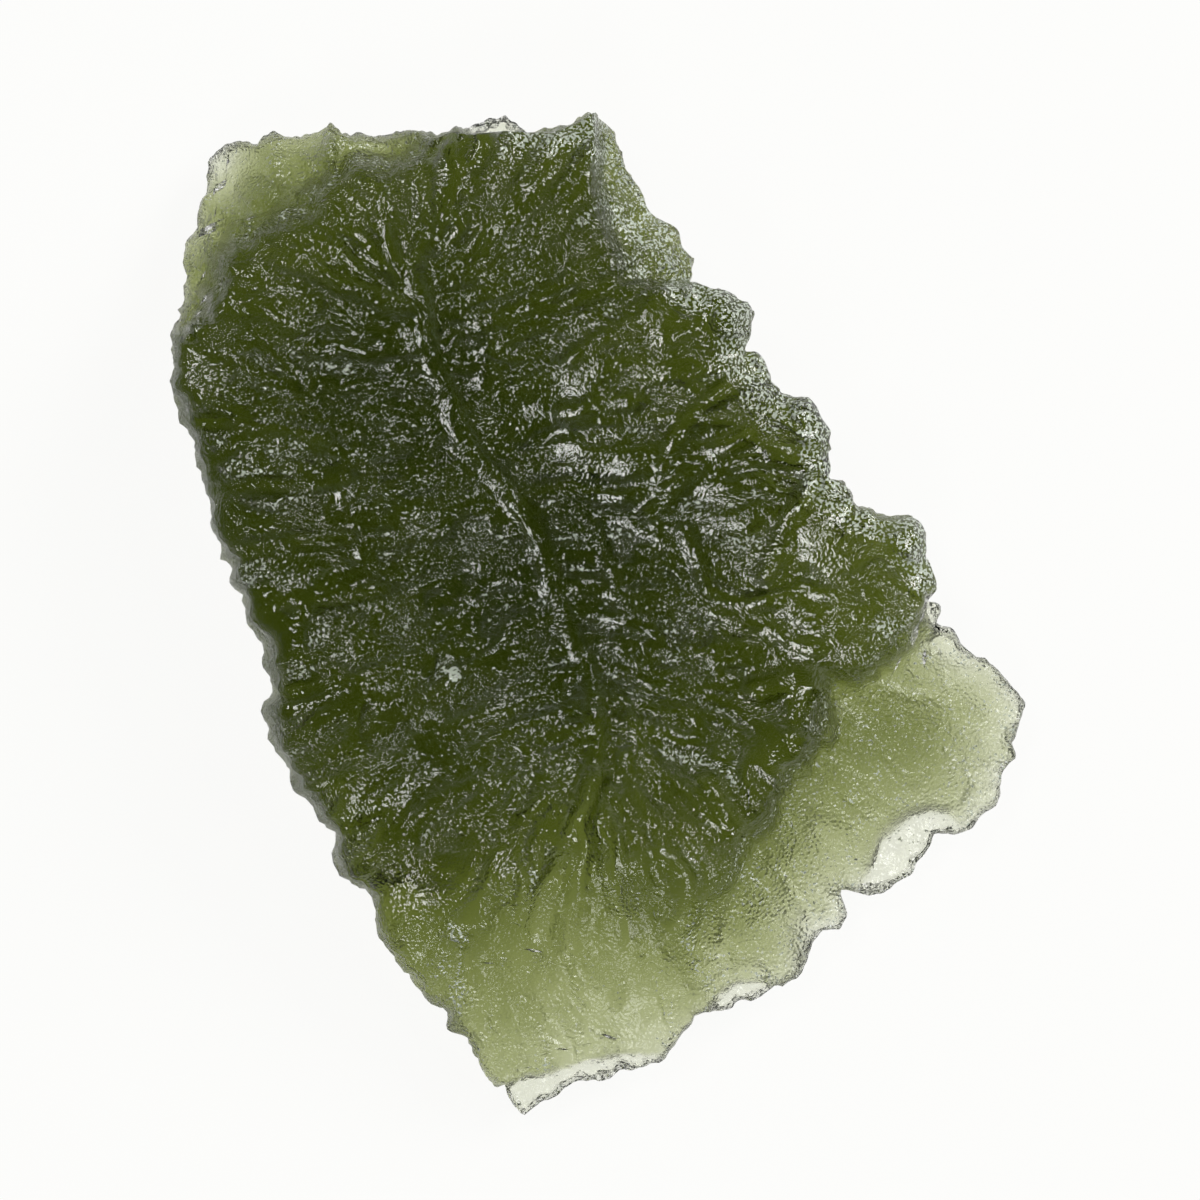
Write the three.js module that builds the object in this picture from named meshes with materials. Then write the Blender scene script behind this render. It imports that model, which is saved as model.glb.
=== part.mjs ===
// A raw moldavite: one flat piece of natural green glass, 36 mm long, lying on its back.
//
// The face is etched into a leaf-like net of channels that fan out from a midrib, the
// sides are steep and notched, and old breaks leave thin shelves at both ends. The stone
// is one closed skin of three parts: a face sheet, a back sheet and the side wall that
// joins them. Units are millimetres, +Z is up out of the etched face, +Y is the length.

import * as THREE from "three";
import { mergeVertices } from "three/addons/utils/BufferGeometryUtils.js";

// How finely the skin is divided.
const CELLS_ACROSS = 38;
const CELLS_ALONG = 50;
const WALL_BANDS = 4;
const PATCH_HALF_WIDTH = 0.3;

// The outline as seen from above, in four sides, each listed from corner to corner.
const TOP_SIDE = [
  [-14.0, 16.4], [-13.6, 16.85], [-13.0, 17.1], [-12.0, 17.25], [-10.1, 17.3], [-9.65, 17.65],
  [-8.9, 17.2], [-7.6, 17.2], [-6.7, 17.5], [-5.8, 17.25], [-4.6, 17.55], [-3.4, 17.9],
  [-2.5, 17.25], [-1.8, 17.27], [-1.5, 17.5], [-0.1, 17.95],
];
const RIGHT_SIDE = [
  [-0.1, 17.95], [0.25, 17.6], [0.6, 17.05], [1.1, 15.95], [1.6, 15.0], [2.0, 14.35],
  [3.0, 13.5], [3.35, 12.6], [3.35, 12.15], [3.25, 11.85], [4.3, 11.7], [4.8, 11.5],
  [5.2, 11.1], [5.5, 10.7], [5.4, 9.9], [5.2, 9.3], [5.6, 9.3], [6.2, 8.7], [6.45, 7.85],
  [7.45, 7.7], [7.85, 7.5], [7.95, 7.1], [8.3, 6.5], [8.15, 5.7], [8.3, 5.25], [8.2, 4.85],
  [8.6, 4.8], [9.0, 4.45], [9.3, 3.95], [10.5, 3.55], [11.2, 3.55], [11.65, 3.2],
  [11.75, 2.4], [11.65, 2.1], [12.05, 1.3], [12.0, 0.8], [11.75, 0.5], [12.4, 0.3],
  [12.2, -0.3], [12.7, -0.5], [13.6, -1.5], [14.5, -2.0], [14.85, -2.4], [15.3, -3.2],
];
const BOTTOM_SIDE = [
  [-2.7, -18.05], [-1.8, -17.5], [-0.7, -16.9], [0.0, -16.85], [0.9, -16.4], [1.55, -16.35],
  [2.3, -16.0], [3.1, -15.1], [3.45, -14.45], [4.4, -14.4], [4.9, -14.05], [5.9, -13.7],
  [6.7, -13.5], [7.25, -12.9], [7.5, -12.3], [7.7, -11.95], [8.1, -11.4], [8.7, -11.4],
  [8.85, -10.5], [8.8, -10.1], [10.2, -10.1], [10.8, -9.75], [11.3, -9.4], [11.7, -8.7],
  [12.1, -7.97], [12.7, -8.0], [13.4, -7.75], [14.3, -6.9], [14.55, -6.0], [14.95, -5.2],
  [14.85, -4.6], [15.25, -4.0], [15.3, -3.2],
];
const LEFT_SIDE = [
  [-14.0, 16.4], [-14.25, 15.85], [-14.3, 15.1], [-14.55, 14.8], [-14.4, 13.85],
  [-14.95, 13.45], [-15.05, 12.7], [-14.9, 11.9], [-15.1, 11.05], [-15.3, 11.0],
  [-15.35, 10.3], [-15.3, 9.0], [-15.25, 8.0], [-15.0, 7.0], [-14.55, 6.2], [-14.4, 5.4],
  [-13.9, 3.9], [-13.9, 3.2], [-13.6, 2.5], [-13.4, 2.0], [-13.1, 1.6], [-13.25, 1.0],
  [-12.8, 0.7], [-12.6, -0.1], [-12.25, -0.8], [-11.9, -1.8], [-11.7, -2.7], [-12.0, -3.1],
  [-11.95, -3.9], [-11.5, -4.9], [-10.9, -5.9], [-10.85, -6.3], [-10.45, -6.6],
  [-10.15, -7.5], [-9.6, -7.8], [-9.5, -8.8], [-9.2, -9.5], [-8.3, -10.0], [-8.0, -11.2],
  [-7.8, -11.85], [-7.1, -12.6], [-6.8, -13.2], [-6.2, -13.9], [-5.6, -14.2], [-5.3, -15.0],
  [-4.6, -15.9], [-4.3, -16.6], [-3.85, -17.1], [-3.5, -17.05], [-3.1, -17.75], [-2.7, -18.05],
];

// Heights of the face before it was broken and etched, as [x, y, height].
const FACE_HEIGHTS = [
  [-6, 12, 7.0], [-5, 8, 7.4], [-3, 4, 7.5], [-1, 0, 7.4], [0, -4, 6.8], [0, -7, 5.6],
  [0, -10, 4.6], [0, -12.5, 2.9], [0, -14.5, 2.1], [0.5, -16, 1.8], [-14, 9, 6.8],
  [-13, 5, 7.2], [-12.5, 2, 7.3], [-11.5, -1, 7.2], [-11, -4, 6.9], [-9.5, -7, 6.2],
  [-8, -10, 5.2], [-6.5, -13, 4.5], [-4.5, -16, 3.1], [-10, 8, 7.0], [-9, 2, 7.2],
  [-7, -4, 6.8], [-5, -8, 5.7], [-4, -12, 3.9], [-2.5, -14.5, 2.2], [-12, 14, 5.6],
  [-13.5, 16, 5.0], [-10, 15.5, 5.6], [-7, 16, 5.6], [-4, 16.5, 5.8], [-1.5, 16.5, 6.0],
  [-10, 12, 6.5], [-3, 14, 6.8], [0, 14, 6.5], [2, 11, 6.4], [4, 10, 5.8], [5, 8, 5.9],
  [7, 6.5, 5.5], [3, 6, 6.8], [7.5, 4, 6.1], [10, 2.5, 5.3], [11, 1.5, 4.7], [5, 0, 6.6],
  [8, -1, 6.0], [5, -4, 6.4], [4, -8, 4.9], [2, -11, 3.5], [12, -4, 4.8], [8, -8, 4.9],
];
const FACE_BLUR = 2.3;

// Places where the face has broken away down to a lower shelf. The side of each line that
// lies on the stone is the lip of the break. Heights run from the lip to the stone's edge.
const BREAKS = [
  {
    // The wide pale shelf at the lower right.
    line: [
      [12.6, 0.4], [11.6, -0.3], [10.9, -1.3], [10.0, -2.0], [9.0, -2.2], [8.1, -2.8],
      [8.0, -3.7], [7.5, -4.7], [6.9, -5.5], [6.2, -6.3], [6.0, -7.2], [5.3, -8.0], [4.8, -8.7],
      [4.6, -9.4], [3.9, -10.1], [3.2, -10.8], [3.1, -11.7], [3.5, -12.6], [4.1, -13.4],
      [4.6, -14.4], [5.5, -20], [20, -20], [20, 0.4],
    ],
    lip: 3.7, edge: 2.0, reach: 5.5, slope: 0.7,
  },
  {
    // The pale shelf round the top left corner.
    line: [
      [-20, 8.4], [-15.0, 8.6], [-14.6, 9.9], [-14.2, 10.7], [-13.6, 11.7], [-13.3, 12.8],
      [-13.0, 13.5], [-11.6, 13.8], [-10.4, 14.3], [-9.8, 15.1], [-8.9, 15.9], [-7.6, 16.0],
      [-6.6, 16.3], [-5.9, 16.9], [-5.6, 20], [-20, 20],
    ],
    lip: 4.9, edge: 3.1, reach: 3.2, slope: 0.7,
  },
  {
    // The thin flange on the top edge.
    line: [
      [-5.5, 20], [-5.3, 17.3], [-4.7, 17.1], [-3.7, 17.2], [-2.7, 17.25], [-2.2, 17.3],
      [-2.0, 20],
    ],
    lip: 1.6, edge: 1.1, reach: 0.9, slope: 0.15,
  },
  {
    // The steep fresh facet beside the upper right edge.
    line: [
      [0.1, 18.6], [0.0, 17.3], [-0.1, 16.3], [-0.05, 15.0], [0.25, 13.8], [0.6, 12.7],
      [0.8, 11.8], [1.8, 11.5], [3.4, 11.9], [8, 12.5], [6, 18.6],
    ],
    lip: 5.8, edge: 4.4, reach: 2.8, slope: 0.4,
  },
  {
    // The clear strip along the lower end.
    line: [
      [-5.0, -17.4], [-3.9, -17.0], [-3.3, -16.95], [-2.6, -16.6], [-1.4, -16.4], [-0.4, -16.0],
      [0.9, -15.85], [2.2, -15.9], [3.0, -16.6], [3.0, -19.5], [-5.0, -19.5],
    ],
    lip: 1.3, edge: 1.0, reach: 1.2, slope: 0.12,
  },
  {
    // The clear chip bitten out of the pale shelf.
    line: [
      [9.5, -9.9], [9.8, -9.0], [10.0, -8.2], [10.5, -7.6], [11.1, -7.2], [11.8, -7.05],
      [12.5, -7.2], [13.0, -8.0], [13.0, -11], [9.2, -11],
    ],
    lip: 1.4, edge: 0.8, reach: 1.8, slope: 0.3,
  },
  {
    // The small clear chip near the lower end.
    line: [
      [4.0, -14.2], [4.4, -13.6], [5.0, -13.25], [5.8, -13.2], [6.4, -13.7], [6.4, -15],
      [4.0, -15],
    ],
    lip: 1.3, edge: 0.85, reach: 0.8, slope: 0.15,
  },
];

// Channels cut by hand where the face shows its deepest ones: the midrib and its branches.
const CHANNELS = [
  { depth: 0.83, width: 0.57, path: [
    [-6.2, 15.4], [-6.1, 13.6], [-6.5, 12.0], [-6.2, 10.4], [-5.9, 8.8], [-5.2, 7.2],
    [-4.6, 5.8], [-3.4, 4.5], [-2.5, 3.4], [-1.9, 2.2], [-1.7, 1.0], [-1.2, -0.4], [-0.5, -1.6],
    [-0.2, -3.0], [-0.2, -4.6], [-0.2, -5.9],
  ] },
  { depth: 0.95, width: 0.68, path: [
    [-0.1, -5.7], [-0.6, -7.2], [-1.2, -8.6], [-1.8, -10.0], [-2.1, -11.2],
  ] },
  { depth: 0.75, width: 0.54, path: [[-0.3, -6.4], [-0.6, -8.4], [-0.9, -10.2], [-1.1, -12.0]] },
  { depth: 0.75, width: 0.54, path: [
    [-6.5, 10.7], [-7.6, 11.0], [-8.9, 11.5], [-10.2, 12.2], [-11.6, 12.7],
  ] },
  { depth: 0.68, width: 0.54, path: [[0.9, 10.2], [-0.2, 9.6], [-1.2, 8.7], [-2.6, 7.9]] },
  { depth: 0.68, width: 0.61, path: [[1.2, 7.5], [0.0, 7.4], [-1.3, 7.0]] },
  { depth: 0.75, width: 0.61, path: [[5.4, 8.6], [4.3, 7.8], [3.3, 6.9], [2.6, 6.0], [2.3, 5.2]] },
  { depth: 0.75, width: 0.54, path: [[5.2, 6.3], [3.9, 5.6], [2.8, 4.6], [1.8, 3.5]] },
  { depth: 0.75, width: 0.61, path: [[7.6, 4.6], [6.8, 3.4], [6.3, 2.2], [5.8, 1.4]] },
  { depth: 0.6, width: 0.54, path: [[3.0, 2.9], [3.4, 1.9], [3.8, 0.9], [5.2, 0.4], [6.6, 0.6]] },
  { depth: 0.9, width: 0.68, path: [[8.2, -2.4], [7.3, -2.3], [6.4, -2.4], [5.6, -2.7]] },
  { depth: 0.68, width: 0.54, path: [[5.6, -8.2], [4.8, -7.5], [4.2, -6.7], [3.8, -5.9]] },
  { depth: 0.6, width: 0.47, path: [[-14.2, 6.8], [-12.6, 6.7], [-11.0, 6.6], [-9.6, 6.2]] },
  { depth: 0.6, width: 0.47, path: [[-13.7, 4.3], [-12.0, 4.5], [-10.4, 4.5], [-8.9, 4.8]] },
  { depth: 0.75, width: 0.54, path: [[-13.2, 1.9], [-12.2, 2.3], [-10.6, 2.6], [-8.8, 2.7]] },
  { depth: 0.6, width: 0.54, path: [[-12.4, 0.0], [-11.0, 0.5], [-9.0, 0.6], [-7.6, 0.9]] },
  { depth: 0.6, width: 0.47, path: [[-11.6, -2.9], [-10.0, -2.6], [-8.4, -2.2], [-6.6, -1.5]] },
  { depth: 0.6, width: 0.47, path: [[-8.6, -10.0], [-7.2, -9.8], [-5.8, -9.6]] },
];

// The etched net follows the field lines that spread from a straight midrib between two foci.
const MIDRIB_HEAD = [-6.3, 12.0];
const MIDRIB_FOOT = [-0.3, -6.5];
const NET_PER_RADIAN = 5.6;
const NET_ALONG = 1.5;
const RIGHT_TWIST = 0.35;

const NET_DEPTH = 0.42;
const NET_SHARPNESS = 0.24;
const NET_EDGE_SHARE = 0.3;
const NET_EDGE_REACH = 1.4;
const LUMP_HEIGHT = 0.32;
const LUMP_SIZE = 2.4;
const DIMPLE_DEPTH = 0.16;
const DIMPLE_SIZE = 1.6;

// Each round pit in the face, as [x, y, radius, depth].
const PITS = [
  [-7.5, 12.3, 0.55, 0.3], [-5.1, -2.1, 0.45, 0.25], [2.7, -1.5, 0.4, 0.3], [-0.6, 0.7, 0.6, 0.2],
];

// The back: how far it lifts towards the edge, and the lumps that it rests on, as [x, y, radius].
const BACK_CLEARANCE = 0.42;
const BACK_EDGE_LIFT = 0.8;
const BACK_EDGE_REACH = 2.2;
const BACK_NET_DEPTH = 0.3;
const FEET = [
  [-7.6, 8.2, 2.6], [-1.4, 0.4, 3.0], [3.8, 4.2, 2.4], [-5.6, -6.2, 2.5], [3.4, -8.0, 2.5],
];
const FOOT_DEPTH = 1.2;

// The edge: how much the face and the back draw in from the widest line of the wall.
const FACE_DRAW_IN = 0.42;
const BACK_DRAW_IN = 0.3;
const EDGE_ROUNDING = 0.55;
const EDGE_ROUNDING_REACH = 0.5;
const WALL_ROUGHNESS = 0.16;
const THINNEST = 0.35;

const GLASS_GREEN = 0x5a6631;

const mix = (a, b, t) => a + (b - a) * t;
const clamp = (value, low, high) => Math.min(high, Math.max(low, value));
const smooth = (t) => clamp(t, 0, 1) ** 2 * (3 - 2 * clamp(t, 0, 1));

// A steady pseudo-random number from 0 to 1 for each lattice point.
function chance(i, j, seed) {
  const wave = Math.sin(i * 127.1 + j * 311.7 + seed * 74.7) * 43758.5453;
  return wave - Math.floor(wave);
}

// Gradient noise from about -0.7 to 0.7: each lattice point has a slope in a random direction.
function noise(x, y, seed) {
  const i = Math.floor(x);
  const j = Math.floor(y);
  const slope = (di, dj) => {
    const turn = 2 * Math.PI * chance(i + di, j + dj, seed);
    return Math.cos(turn) * (x - i - di) + Math.sin(turn) * (y - j - dj);
  };
  const across = smooth(x - i);
  const near = mix(slope(0, 0), slope(1, 0), across);
  const far = mix(slope(0, 1), slope(1, 1), across);
  return mix(near, far, smooth(y - j));
}

// The distance from a point to a polyline, closed or open.
function distanceTo(path, x, y, closed = false) {
  let least = Infinity;
  for (let k = closed ? 0 : 1; k < path.length; k++) {
    const [ax, ay] = path[(k + path.length - 1) % path.length];
    const [bx, by] = path[k];
    const long = (bx - ax) ** 2 + (by - ay) ** 2 || 1e-9;
    const t = clamp(((x - ax) * (bx - ax) + (y - ay) * (by - ay)) / long, 0, 1);
    least = Math.min(least, Math.hypot(x - mix(ax, bx, t), y - mix(ay, by, t)));
  }
  return least;
}

// Whether a point is inside a polygon, by counting the sides that a ray from it crosses.
function isInside(polygon, x, y) {
  let inside = false;
  for (let k = 0; k < polygon.length; k++) {
    const [ax, ay] = polygon[(k + polygon.length - 1) % polygon.length];
    const [bx, by] = polygon[k];
    if (ay > y !== by > y && x < ax + ((y - ay) * (bx - ax)) / (by - ay)) inside = !inside;
  }
  return inside;
}

// Points at equal spacing along a polyline.
function evenly(path, cells) {
  const reach = [0];
  for (let k = 1; k < path.length; k++) {
    reach.push(reach[k - 1] + Math.hypot(path[k][0] - path[k - 1][0], path[k][1] - path[k - 1][1]));
  }
  const points = [];
  for (let n = 0, k = 1; n <= cells; n++) {
    const goal = (reach[reach.length - 1] * n) / cells;
    while (k < path.length - 1 && reach[k] < goal) k++;
    const t = (goal - reach[k - 1]) / (reach[k] - reach[k - 1]);
    points.push([mix(path[k - 1][0], path[k][0], t), mix(path[k - 1][1], path[k][1], t)]);
  }
  return points;
}

// The outline once round, clockwise from the top left corner, at the skin's own spacing.
const outline = [
  ...evenly(TOP_SIDE, CELLS_ACROSS).slice(0, -1),
  ...evenly(RIGHT_SIDE, CELLS_ALONG).slice(0, -1),
  ...evenly(BOTTOM_SIDE, CELLS_ACROSS).reverse().slice(0, -1),
  ...evenly(LEFT_SIDE, CELLS_ALONG).reverse().slice(0, -1),
];
const AROUND = outline.length;

// The direction into the stone at each outline point, from the outline a few steps either way.
const inward = outline.map((_, k) => {
  const [ax, ay] = outline[(k + AROUND - 4) % AROUND];
  const [bx, by] = outline[(k + 4) % AROUND];
  const long = Math.hypot(bx - ax, by - ay);
  return [(by - ay) / long, -(bx - ax) / long];
});

// The outline drawn in by a distance that wanders a little along it.
function drawnIn(distance, seed) {
  return outline.map(([x, y], k) => {
    const pull = distance * (1 + 0.8 * noise(x * 0.45, y * 0.45, seed));
    return [x + inward[k][0] * pull, y + inward[k][1] * pull];
  });
}
const faceRim = drawnIn(FACE_DRAW_IN, 3);
const backRim = drawnIn(BACK_DRAW_IN, 4);

// Where a point lies in the net: the angle of its field line, and how far out along it.
function netPlace(x, y) {
  const half = Math.hypot(MIDRIB_HEAD[0] - MIDRIB_FOOT[0], MIDRIB_HEAD[1] - MIDRIB_FOOT[1]) / 2;
  const toHead = Math.hypot(x - MIDRIB_HEAD[0], y - MIDRIB_HEAD[1]);
  const toFoot = Math.hypot(x - MIDRIB_FOOT[0], y - MIDRIB_FOOT[1]);
  const out = Math.acosh(Math.max(1, (toHead + toFoot) / (2 * half)));
  const angle = Math.acos(clamp((toHead - toFoot) / (2 * half), -1, 1));
  const side =
    (MIDRIB_FOOT[0] - MIDRIB_HEAD[0]) * (y - MIDRIB_HEAD[1]) -
    (MIDRIB_FOOT[1] - MIDRIB_HEAD[1]) * (x - MIDRIB_HEAD[0]);
  return side > 0 ? [angle + RIGHT_TWIST * out, out, 1] : [angle, out, 0];
}

// The etched net: channels run where stretched noise crosses zero, so they fork and rejoin.
function netCut(x, y, seed) {
  const [angle, out, side] = netPlace(x, y);
  const wander = 0.5 * noise(x * 0.35, y * 0.35, seed + 9);
  const field = noise(angle * NET_PER_RADIAN + wander, out * NET_ALONG + wander, seed + 20 * side);
  return Math.exp(-((field / NET_SHARPNESS) ** 2));
}

// How far the etching has cut into a face at a point: net, lumps and dimples.
function etching(x, y, edge, seed, netDepth) {
  const share = mix(NET_EDGE_SHARE, 1, smooth(edge / NET_EDGE_REACH));
  const lumps = noise(x / LUMP_SIZE, y / LUMP_SIZE, seed + 1) * LUMP_HEIGHT;
  const dimples = Math.abs(noise(x / DIMPLE_SIZE, y / DIMPLE_SIZE, seed + 2)) * DIMPLE_DEPTH;
  return netDepth * share * netCut(x, y, seed) - lumps + dimples;
}

// How deep the hand-placed channels are at a point. Where two meet, the deeper one counts.
function channelCut(x, y) {
  let cut = 0;
  for (const { path, depth, width } of CHANNELS) {
    cut = Math.max(cut, depth * Math.exp(-((distanceTo(path, x, y) / width) ** 2)));
  }
  return cut;
}

// The unbroken face: a blend of the listed heights, each weighing less with distance.
function blankHeight(x, y) {
  let sum = 0;
  let weights = 1e-12;
  for (const [px, py, height] of FACE_HEIGHTS) {
    const weight = Math.exp(-((x - px) ** 2 + (y - py) ** 2) / (2 * FACE_BLUR ** 2));
    sum += weight * height;
    weights += weight;
  }
  return sum / weights;
}

function backHeight(x, y) {
  const edge = distanceTo(outline, x, y, true);
  let height = BACK_CLEARANCE + BACK_EDGE_LIFT * Math.exp(-edge / BACK_EDGE_REACH);
  height += etching(x, y, edge, 60, BACK_NET_DEPTH);
  for (const [fx, fy, radius] of FEET) {
    height -= FOOT_DEPTH * Math.exp(-(((x - fx) ** 2 + (y - fy) ** 2) / radius ** 2));
  }
  return Math.max(0, height);
}

function faceHeight(x, y) {
  const edge = distanceTo(outline, x, y, true);
  let height = blankHeight(x, y);
  let calm = 1;
  for (const { line, lip, edge: low, reach, slope } of BREAKS) {
    const inside = isInside(line, x, y) ? 1 : -1;
    const broken = smooth((inside * distanceTo(line, x, y, true)) / slope / 2 + 0.5);
    const shelf = mix(low, lip, smooth(edge / reach));
    height = mix(height, Math.min(height, shelf), broken);
    calm = Math.min(calm, mix(1, clamp(shelf / 6, 0.12, 0.6), broken));
  }
  height -= calm * (etching(x, y, edge, 10, NET_DEPTH) + channelCut(x, y));
  for (const [px, py, radius, depth] of PITS) {
    height -= depth * Math.exp(-(((x - px) ** 2 + (y - py) ** 2) / radius ** 2));
  }
  const floor = backHeight(x, y);
  const rounding = Math.min(EDGE_ROUNDING, 0.3 * Math.max(0, height - floor));
  height -= rounding * Math.exp(-edge / EDGE_ROUNDING_REACH);
  return Math.max(height, floor + THINNEST);
}

// The mean height of the small patch round a point, which keeps steep lips clean on this grid.
function meanHeight(heightAt, x, y) {
  const steps = [-PATCH_HALF_WIDTH, 0, PATCH_HALF_WIDTH];
  let sum = 0;
  for (const dx of steps) {
    for (const dy of steps) sum += heightAt(x + dx, y + dy);
  }
  return sum / steps.length ** 2;
}

// A point of a sheet stretched over a rim: each pair of facing sides is blended across, and
// the blend of the four corners, which both pairs count, is taken off once.
function sheetPoint(rim, column, row) {
  const u = column / CELLS_ACROSS;
  const v = row / CELLS_ALONG;
  const corner = [0, CELLS_ACROSS, CELLS_ACROSS + CELLS_ALONG, 2 * CELLS_ACROSS + CELLS_ALONG];
  const top = rim[column];
  const right = rim[corner[1] + row];
  const bottom = rim[corner[3] - column];
  const left = rim[(AROUND - row) % AROUND];
  return [0, 1].map((axis) => {
    const sides = mix(top[axis], bottom[axis], v) + mix(left[axis], right[axis], u);
    const corners = mix(
      mix(rim[0][axis], rim[corner[1]][axis], u),
      mix(rim[corner[3]][axis], rim[corner[2]][axis], u),
      v,
    );
    return sides - corners;
  });
}

const points = [];
const triangles = [];

function addQuad(a, b, c, d) {
  triangles.push(a, b, c, a, c, d);
}

// One sheet of the skin. Returns a function that gives the index of the point in a cell corner.
function addSheet(rim, heightAt, facesUp) {
  const first = points.length;
  const at = (column, row) => first + row * (CELLS_ACROSS + 1) + column;
  for (let row = 0; row <= CELLS_ALONG; row++) {
    for (let column = 0; column <= CELLS_ACROSS; column++) {
      const [x, y] = sheetPoint(rim, column, row);
      points.push([x, y, meanHeight(heightAt, x, y)]);
    }
  }
  for (let row = 0; row < CELLS_ALONG; row++) {
    for (let column = 0; column < CELLS_ACROSS; column++) {
      const [right, down] = [column + 1, row + 1];
      const ring = [at(column, row), at(column, down), at(right, down), at(right, row)];
      addQuad(...(facesUp ? ring : ring.reverse()));
    }
  }
  return at;
}

// The indices of a sheet's rim points, in the outline's order.
function rimOf(at) {
  return outline.map((_, k) => {
    const half = CELLS_ACROSS + CELLS_ALONG;
    const side = [k, k - CELLS_ACROSS, k - half, k - half - CELLS_ACROSS];
    if (side[1] < 0) return at(side[0], 0);
    if (side[2] < 0) return at(CELLS_ACROSS, side[1]);
    if (side[3] < 0) return at(CELLS_ACROSS - side[2], CELLS_ALONG);
    return at(0, CELLS_ALONG - side[3]);
  });
}

// The wall bulges out to the outline between the two drawn-in rims, and is notched by noise.
function addWall(upper, lower) {
  const bands = [upper];
  for (let band = 1; band < WALL_BANDS; band++) {
    const t = band / WALL_BANDS;
    bands.push(
      outline.map(([x, y], k) => {
        const above = points[upper[k]];
        const below = points[lower[k]];
        const bulge = Math.sin(Math.PI * t);
        const z = mix(above[2], below[2], t);
        const rough = Math.min(WALL_ROUGHNESS, 0.2 * (above[2] - below[2]));
        const dent = rough * (0.35 + noise((x + y) * 0.8, (y - x) * 0.8 + z * 0.9, 33)) * bulge;
        points.push([
          mix(mix(above[0], below[0], t), x, bulge) + inward[k][0] * dent,
          mix(mix(above[1], below[1], t), y, bulge) + inward[k][1] * dent,
          z,
        ]);
        return points.length - 1;
      }),
    );
  }
  bands.push(lower);
  for (let band = 0; band < WALL_BANDS; band++) {
    for (let k = 0; k < AROUND; k++) {
      const next = (k + 1) % AROUND;
      addQuad(bands[band][k], bands[band][next], bands[band + 1][next], bands[band + 1][k]);
    }
  }
}

function stoneGeometry() {
  const face = addSheet(faceRim, faceHeight, true);
  const back = addSheet(backRim, backHeight, false);
  addWall(rimOf(face), rimOf(back));
  const geometry = new THREE.BufferGeometry();
  geometry.setAttribute("position", new THREE.Float32BufferAttribute(points.flat(), 3));
  geometry.setIndex(triangles);
  geometry.computeBoundingBox();
  const { min, max } = geometry.boundingBox;
  geometry.translate(-(min.x + max.x) / 2, -(min.y + max.y) / 2, -min.z);
  const skin = mergeVertices(geometry);
  skin.computeVertexNormals();
  return skin;
}

const glass = new THREE.MeshStandardMaterial({ color: GLASS_GREEN, roughness: 0.35, metalness: 0 });
const stone = new THREE.Mesh(stoneGeometry(), glass);
stone.name = "moldavite";

const part = new THREE.Group();
part.add(stone);

export default part;
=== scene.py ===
"""Looks of a raw moldavite: one flat piece of etched green natural glass on a pale floor.

The stone is a closed skin of three surfaces, worked out with numpy: a face sheet and a back
sheet stretched over the rims of the outline, and the wall between the rims. Sizes in the
classes are in millimetres, in the CAD model's frame; meshes are in metres.
"""

import logging
import math
from dataclasses import dataclass, field
from enum import Enum

import bpy
import numpy as np
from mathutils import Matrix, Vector

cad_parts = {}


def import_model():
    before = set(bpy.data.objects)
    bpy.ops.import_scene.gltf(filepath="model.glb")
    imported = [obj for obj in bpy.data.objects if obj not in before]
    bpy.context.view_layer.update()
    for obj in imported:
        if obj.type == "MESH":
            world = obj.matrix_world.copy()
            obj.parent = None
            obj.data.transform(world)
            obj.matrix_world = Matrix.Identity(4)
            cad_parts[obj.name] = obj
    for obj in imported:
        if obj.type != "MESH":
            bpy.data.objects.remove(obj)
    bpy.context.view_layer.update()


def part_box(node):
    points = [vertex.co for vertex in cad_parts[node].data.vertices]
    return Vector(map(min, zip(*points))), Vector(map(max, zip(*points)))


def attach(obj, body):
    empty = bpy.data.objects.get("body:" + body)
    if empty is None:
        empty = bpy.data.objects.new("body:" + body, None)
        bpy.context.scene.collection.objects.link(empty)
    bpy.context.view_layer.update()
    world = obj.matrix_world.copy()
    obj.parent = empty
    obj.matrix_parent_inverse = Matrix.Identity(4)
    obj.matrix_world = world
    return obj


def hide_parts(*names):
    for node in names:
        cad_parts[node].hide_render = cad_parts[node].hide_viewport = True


MM = 0.001

Path = tuple[tuple[float, float], ...]
Array = np.ndarray

log = logging.getLogger("moldavite")


# Number helpers.


def mix(low: Array | float, high: Array | float, share: Array | float) -> Array | float:
    """Returns low + (high - low) x share."""
    return low + (high - low) * share


def smooth(share: Array) -> Array:
    """Returns 3 t^2 - 2 t^3 of the share held between 0 and 1, an S-shaped step."""
    held = np.clip(share, 0, 1)
    return held * held * (3 - 2 * held)


def chance(i: Array, j: Array, seed: float) -> Array:
    """Gives each lattice point its own steady number from 0 to 1.

    The number is the part after the point of 43758.5453 sin(127.1 i + 311.7 j + 74.7 seed).

    Args:
        i: The lattice columns.
        j: The lattice rows.
        seed: Which of the fields of numbers to use.

    Returns:
        An array of numbers from 0 to 1, the shape of i.
    """
    wave = np.sin(i * 127.1 + j * 311.7 + seed * 74.7) * 43758.5453
    return wave - np.floor(wave)


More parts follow.
